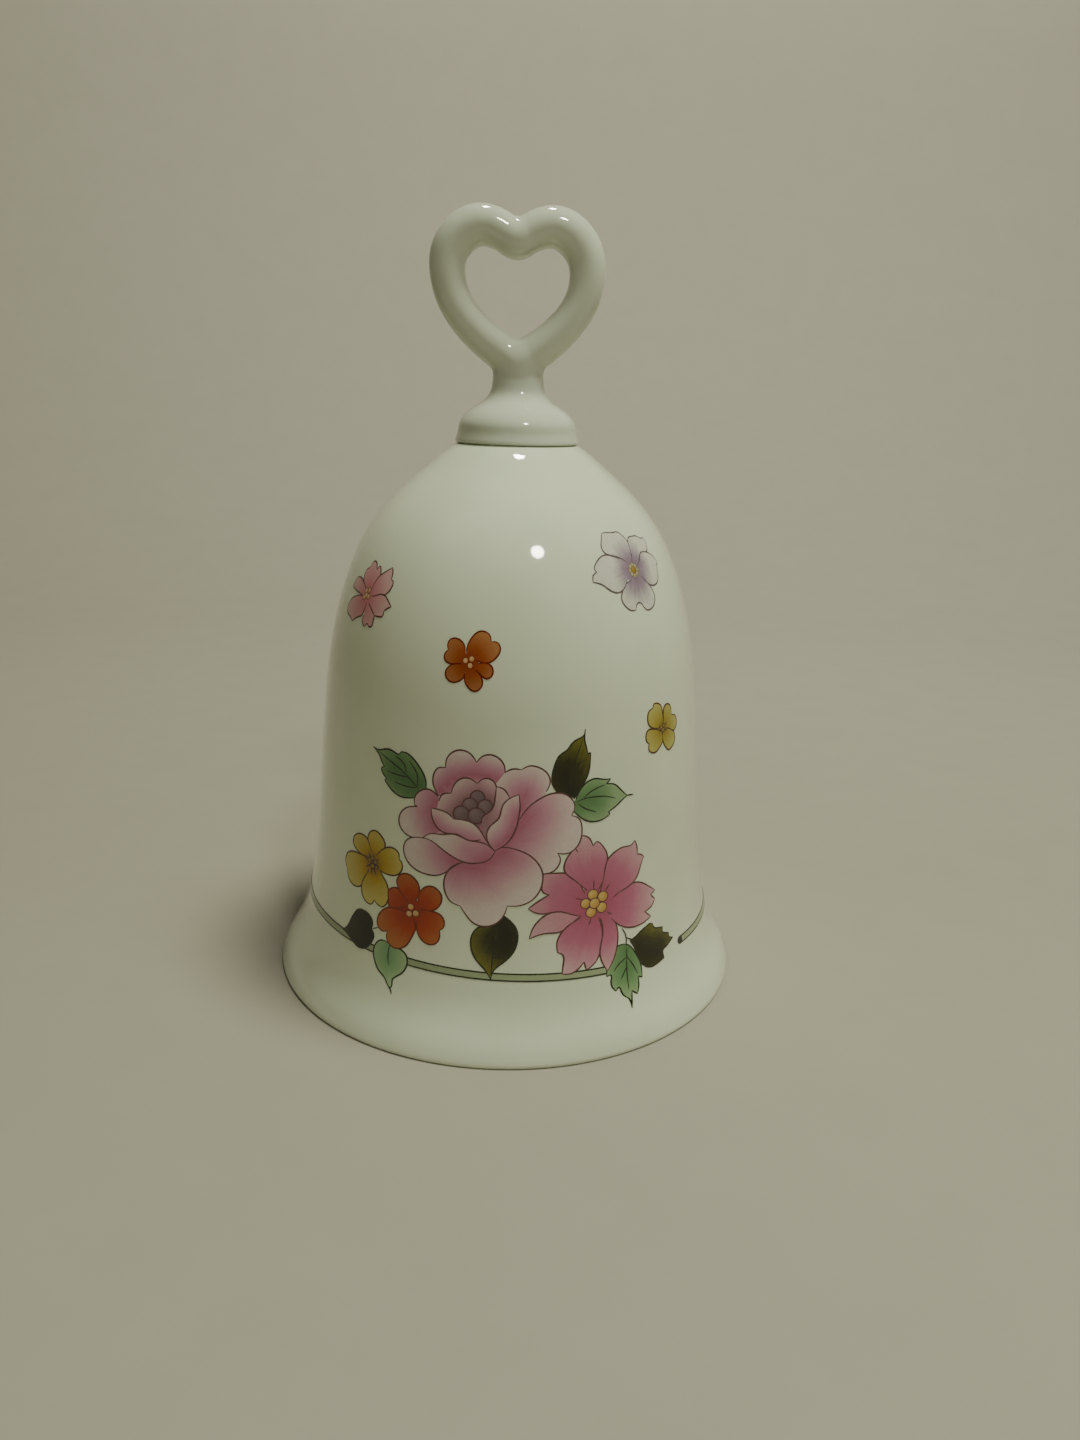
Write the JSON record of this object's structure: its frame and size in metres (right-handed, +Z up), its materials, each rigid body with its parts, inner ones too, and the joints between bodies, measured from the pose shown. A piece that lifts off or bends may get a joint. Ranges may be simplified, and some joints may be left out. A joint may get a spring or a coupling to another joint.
{
  "type": "porcelain hand bell",
  "caption": "Porcelain table bell with a flared rim, a heart-shaped loop handle and a porcelain clapper hung on a short chain inside.",
  "frame": {"origin": "centre of the rim's foot ring, on the table", "axes": "+Z up through the bell's axis; the heart lies in the XZ plane; the painted front faces -Y"},
  "size_m": [0.0838, 0.0838, 0.129],
  "materials": {
    "shell_porcelain": "white porcelain under clear gloss glaze, with fired floral enamels",
    "handle_porcelain": "white porcelain under clear gloss glaze",
    "ball_porcelain": "white glazed porcelain, bare at the bore",
    "cement": "matte fixing cement",
    "brass": "drawn brass wire, slightly dulled"
  },
  "bodies": {
    "bell": {"bell_body": "shell_porcelain", "heart_handle": "handle_porcelain", "handle_cement": "cement", "anchor_washer": "brass", "hanger_eye": "brass"},
    "link_1": {"chain_link_1": "brass"},
    "link_2": {"chain_link_2": "brass"},
    "link_3": {"chain_link_3": "brass"},
    "link_4": {"chain_link_4": "brass"},
    "clapper": {"clapper_pin": "brass", "clapper_ball": "ball_porcelain", "stop_bead": "brass"}
  },
  "joints": [
    {"name": "link_1_swing", "type": "hinge", "parent": "bell", "child": "link_1", "pos_m": [0, 0, 0.0875], "axis": [1, 0, 0], "range_deg": [-21, 21]},
    {"name": "link_2_swing", "type": "hinge", "parent": "link_1", "child": "link_2", "pos_m": [0, 0, 0.08225], "axis": [0, 1, 0], "range_deg": [-23, 23]},
    {"name": "link_3_swing", "type": "hinge", "parent": "link_2", "child": "link_3", "pos_m": [0, 0, 0.077], "axis": [-1, 0, 0], "range_deg": [-26, 26]},
    {"name": "link_4_swing", "type": "hinge", "parent": "link_3", "child": "link_4", "pos_m": [0, 0, 0.07175], "axis": [0, -1, 0], "range_deg": [-29, 29]},
    {"name": "clapper_swing", "type": "hinge", "parent": "link_4", "child": "clapper", "pos_m": [0, 0, 0.0665], "axis": [1, 0, 0], "range_deg": [-31, 31]}
  ]
}
